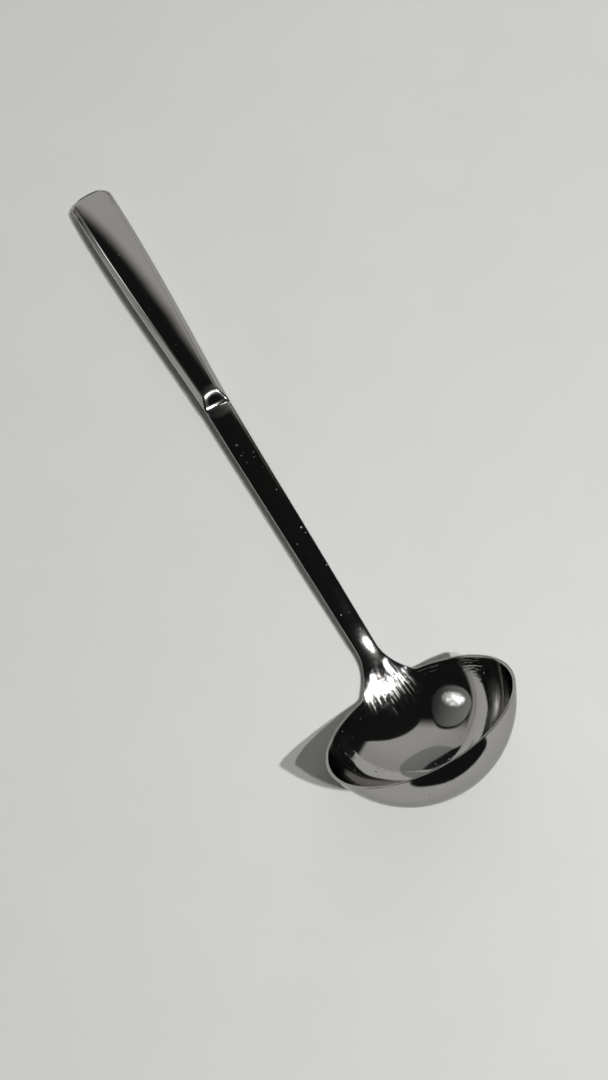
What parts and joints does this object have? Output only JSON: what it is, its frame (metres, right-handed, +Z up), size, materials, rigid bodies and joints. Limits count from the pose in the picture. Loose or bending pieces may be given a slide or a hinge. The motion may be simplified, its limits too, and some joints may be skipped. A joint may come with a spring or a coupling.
{
  "type": "ladle",
  "caption": "Soup ladle in mirror-polished steel: deep round bowl tilted up from a flat stem with a flared neck, and a hollow bevelled grip with a scooped step.",
  "frame": {"origin": "on the table that the ladle lies on, under the middle of its overall length", "axes": "+Z up from the table, +Y along the handle from the bowl to the grip's end, +X to the right seen from the bowl"},
  "size_m": [0.0866, 0.331, 0.0792],
  "materials": {
    "bowl_steel": "mirror-polished stainless steel with fine swirl scratches",
    "stem_steel": "mirror-polished stainless steel, hand-ground marks at the neck",
    "grip_steel": "mirror-polished stainless steel with light handling wear"
  },
  "bodies": {
    "root": {"bowl": "bowl_steel", "stem": "stem_steel", "grip_front_shell": "grip_steel", "grip_back_shell": "grip_steel"}
  },
  "joints": []
}
